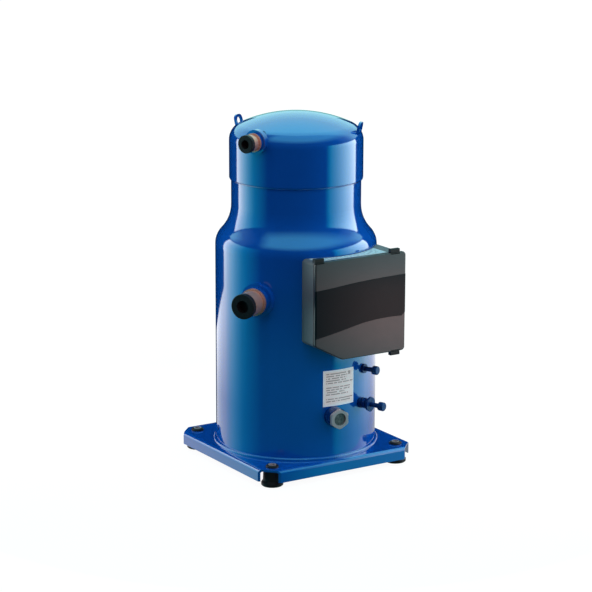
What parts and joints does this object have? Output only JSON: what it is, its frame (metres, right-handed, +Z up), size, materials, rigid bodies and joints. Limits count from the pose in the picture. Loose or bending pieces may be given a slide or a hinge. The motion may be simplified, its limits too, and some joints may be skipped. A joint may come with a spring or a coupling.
{
  "type": "scroll compressor",
  "caption": "Hermetic refrigeration scroll compressor: welded necked shell on a footed base plate, terminal box, copper suction and discharge stubs, sight glass and service ports.",
  "frame": {"origin": "on the shell's axis, in the plane that the four rubber feet rest on, at the centre of the foot bolt pattern", "axes": "+Z up along the shell's axis; the base plate's sides lie along X and Y; the terminal box faces -Y"},
  "size_m": [0.3049, 0.3046, 0.5555],
  "materials": {
    "shell_paint": "gloss blue enamel",
    "zinc_steel": "bright zinc plate",
    "bare_steel": "machined and oiled",
    "electrical_steel": "laminated, blued",
    "cast_iron": "machined casting",
    "copper": "bare drawn copper, lightly tarnished",
    "winding_copper": "enamelled copper wire, varnished",
    "aluminium": "die cast",
    "bronze": "sintered bearing bronze",
    "black_rubber": "moulded",
    "box_plastic": "fine texture",
    "tray_plastic": "fine texture",
    "panel_plastic": "gloss black",
    "terminal_plastic": "moulded thermoset",
    "seal_plastic": "filled PTFE",
    "glass": "clear, dark behind",
    "label": "printed film label"
  },
  "bodies": {
    "compressor_body": {"shell_body": "shell_paint", "bottom_cap": "shell_paint", "top_cap": "shell_paint", "weld_beads": "shell_paint", "base_plate": "shell_paint", "lifting_lugs": "shell_paint", "mounting_grommets": "black_rubber", "mounting_sleeves": "zinc_steel", "discharge_fitting": "shell_paint", "discharge_stub": "copper", "suction_fitting": "shell_paint", "suction_stub": "copper", "sight_glass_fitting": "shell_paint", "sight_glass_nut": "zinc_steel", "sight_glass_lens": "glass", "gauge_port_fitting": "shell_paint", "drain_port_fitting": "shell_paint", "terminal_box_base": "tray_plastic", "box_gasket": "black_rubber", "box_fasteners": "zinc_steel", "earth_screw": "zinc_steel", "cable_entry_plugs": "black_rubber", "terminal_feedthrough": "bare_steel", "terminal_pins": "bare_steel", "terminal_block": "terminal_plastic", "terminal_nuts": "zinc_steel", "protector_module": "terminal_plastic", "wiring_label": "label", "nameplate": "label", "motor_stator": "electrical_steel", "motor_windings": "winding_copper", "motor_leads": "black_rubber", "main_bearing_housing": "cast_iron", "crankshaft_bushes": "bronze", "thrust_plate": "bare_steel", "lower_bearing_bracket": "cast_iron", "fixed_scroll": "cast_iron", "scroll_bolts": "bare_steel", "valve_guard": "bare_steel", "separator_plate": "bare_steel", "separator_seal": "seal_plastic"},
    "crank_assembly": {"crankshaft": "bare_steel", "rotor_core": "electrical_steel", "rotor_end_rings": "aluminium", "counterweights": "cast_iron", "oil_pickup": "bare_steel"},
    "orbiting_scroll_assembly": {"orbiting_scroll": "cast_iron", "drive_bearing_bush": "bronze"},
    "oldham_coupling": {"oldham_ring": "aluminium"},
    "check_valve": {"check_valve_disc": "bare_steel"},
    "box_cover": {"terminal_box_cover": "box_plastic", "cover_panel": "panel_plastic"},
    "top_left_clip": {"clip_top_left": "terminal_plastic"},
    "top_right_clip": {"clip_top_right": "terminal_plastic"},
    "bottom_clip": {"clip_bottom": "terminal_plastic"},
    "gauge_cap": {"gauge_port_cap": "shell_paint"},
    "gauge_core": {"gauge_port_core": "bronze"},
    "drain_cap": {"drain_port_cap": "shell_paint"},
    "suction_cover_plug": {"suction_plug": "black_rubber"},
    "discharge_cover_plug": {"discharge_plug": "black_rubber"}
  },
  "joints": [
    {"name": "shaft_spin", "type": "hinge", "parent": "compressor_body", "child": "crank_assembly", "pos_m": [0, 0, 0.25], "axis": [0, 0, 1], "continuous": true},
    {"name": "scroll_orbit", "type": "hinge", "parent": "crank_assembly", "child": "orbiting_scroll_assembly", "pos_m": [0, 0.00685, 0.41], "axis": [0, 0, 1], "continuous": true},
    {"name": "oldham_slide", "type": "slide", "parent": "compressor_body", "child": "oldham_coupling", "axis": [1, 0, 0], "range_m": [-0.00685, 0.00685]},
    {"name": "check_valve_lift", "type": "slide", "parent": "compressor_body", "child": "check_valve", "axis": [0, 0, 1], "range_m": [0, 0.003]},
    {"name": "cover_off", "type": "slide", "parent": "compressor_body", "child": "box_cover", "axis": [0, -1, 0], "range_m": [0, 0.08]},
    {"name": "top_left_clip_turn", "type": "hinge", "parent": "box_cover", "child": "top_left_clip", "pos_m": [-0.053, -0.1486, 0.3483], "axis": [1, 0, 0], "range_deg": [0, 80]},
    {"name": "top_right_clip_turn", "type": "hinge", "parent": "box_cover", "child": "top_right_clip", "pos_m": [0.086, -0.1486, 0.3483], "axis": [1, 0, 0], "range_deg": [0, 80]},
    {"name": "bottom_clip_turn", "type": "hinge", "parent": "box_cover", "child": "bottom_clip", "pos_m": [0.088, -0.1486, 0.1932], "axis": [-1, 0, 0], "range_deg": [0, 80]},
    {"name": "gauge_cap_off", "type": "slide", "parent": "compressor_body", "child": "gauge_cap", "axis": [0.3987, -0.9171, 0], "range_m": [0, 0.03]},
    {"name": "gauge_core_press", "type": "slide", "parent": "compressor_body", "child": "gauge_core", "axis": [-0.3987, 0.9171, 0], "range_m": [0, 0.0015], "stiffness_N_per_m": 1500, "springref_m": -0.001},
    {"name": "drain_cap_off", "type": "slide", "parent": "compressor_body", "child": "drain_cap", "axis": [0.3502, -0.9367, 0], "range_m": [0, 0.03]},
    {"name": "suction_plug_off", "type": "slide", "parent": "compressor_body", "child": "suction_cover_plug", "axis": [-0.8572, -0.515, 0], "range_m": [0, 0.1]},
    {"name": "discharge_plug_off", "type": "slide", "parent": "compressor_body", "child": "discharge_cover_plug", "axis": [-0.9239, -0.3827, 0], "range_m": [0, 0.08]}
  ],
  "couplings": [
    {"joint": "scroll_orbit", "follows": "shaft_spin", "ratio": -1}
  ]
}
